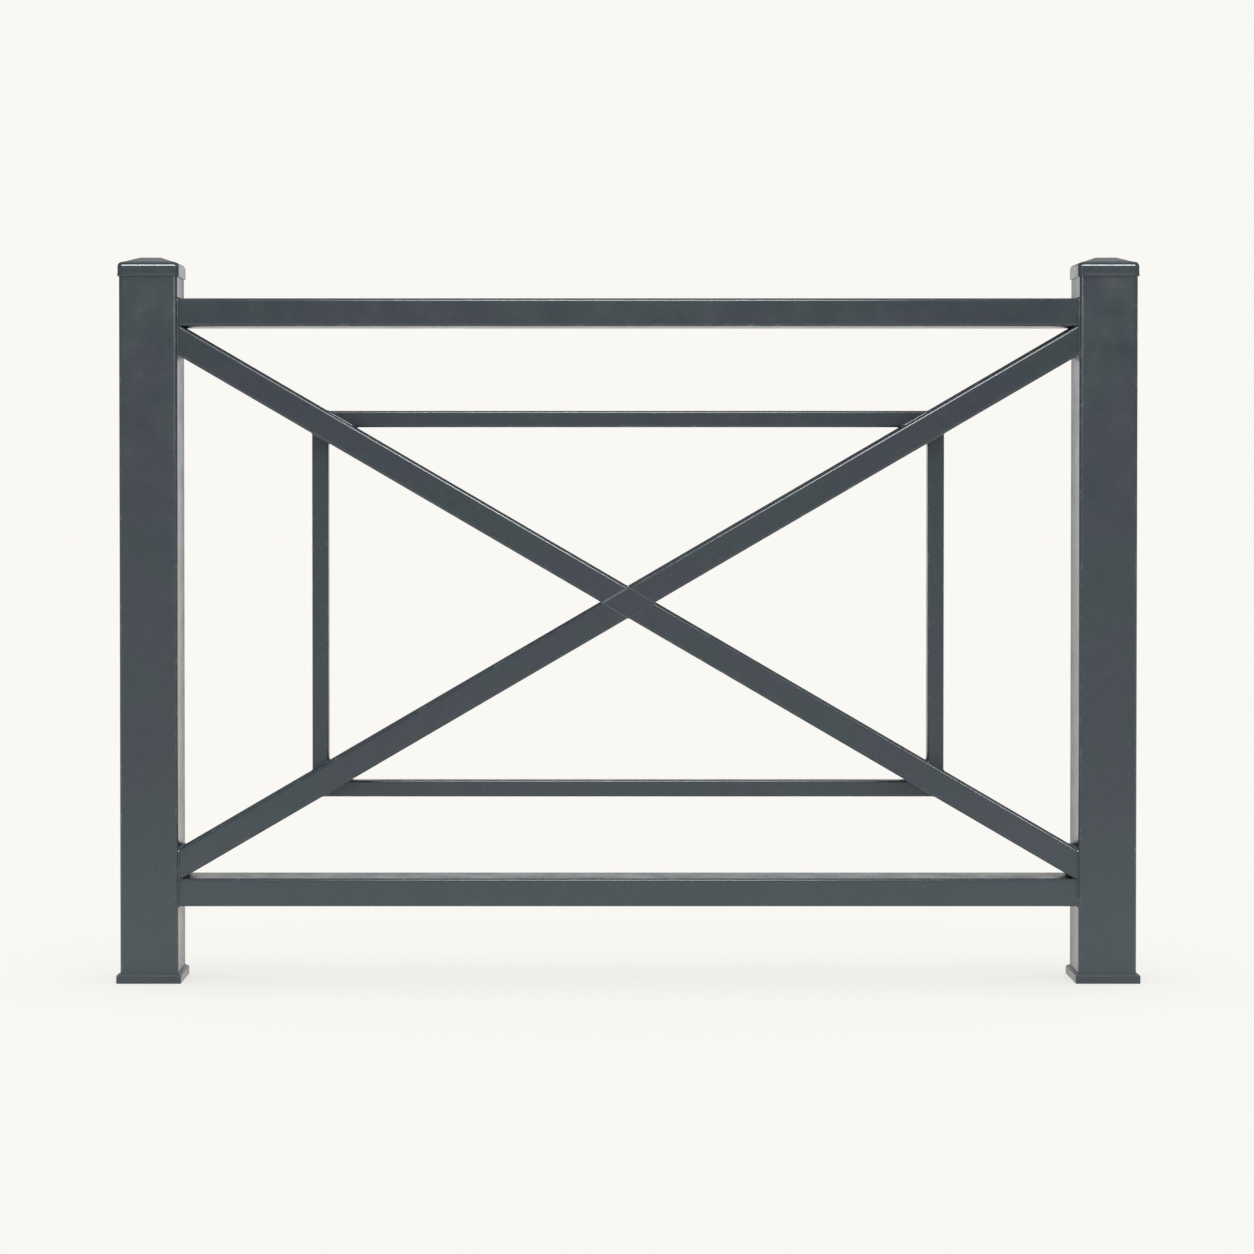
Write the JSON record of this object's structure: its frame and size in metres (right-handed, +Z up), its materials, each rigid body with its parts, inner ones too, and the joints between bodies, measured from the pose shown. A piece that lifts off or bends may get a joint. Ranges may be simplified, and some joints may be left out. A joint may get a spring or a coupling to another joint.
{
  "type": "pedestrian guard railing",
  "caption": "Welded pedestrian guard railing: capped square posts, top and bottom rails, crossed braces and a slim inner frame, in dark powder coat.",
  "frame": {"origin": "centre of the left post's foot, on the ground", "axes": "+X along the railing from the left post to the right post, +Y away from the viewer through the panel's thickness, +Z up"},
  "size_m": [1.409, 0.089, 1],
  "materials": {
    "coated_steel": "satin powder coat, anthracite grey, over welded tube",
    "coated_cap": "satin powder coat, anthracite grey, on a moulded post cap",
    "coated_collar": "satin powder coat, anthracite grey, on the ground collar",
    "coated_weld": "satin powder coat, anthracite grey, over dressed weld beads"
  },
  "bodies": {
    "root": {"left_post": "coated_steel", "right_post": "coated_steel", "left_post_cap": "coated_cap", "right_post_cap": "coated_cap", "left_ground_collar": "coated_collar", "right_ground_collar": "coated_collar", "top_rail": "coated_steel", "bottom_rail": "coated_steel", "falling_brace": "coated_steel", "rising_brace_lower": "coated_steel", "rising_brace_upper": "coated_steel", "inner_top_bar": "coated_steel", "inner_bottom_bar": "coated_steel", "inner_left_bar": "coated_steel", "inner_right_bar": "coated_steel", "upper_left_weld": "coated_weld", "upper_right_weld": "coated_weld", "lower_left_weld": "coated_weld", "lower_right_weld": "coated_weld", "inner_top_left_weld": "coated_weld", "inner_top_right_weld": "coated_weld", "inner_bottom_left_weld": "coated_weld", "inner_bottom_right_weld": "coated_weld", "inner_left_upper_weld": "coated_weld", "inner_right_upper_weld": "coated_weld", "inner_left_lower_weld": "coated_weld", "inner_right_lower_weld": "coated_weld", "crossing_upper_weld": "coated_weld", "crossing_lower_weld": "coated_weld"}
  },
  "joints": []
}
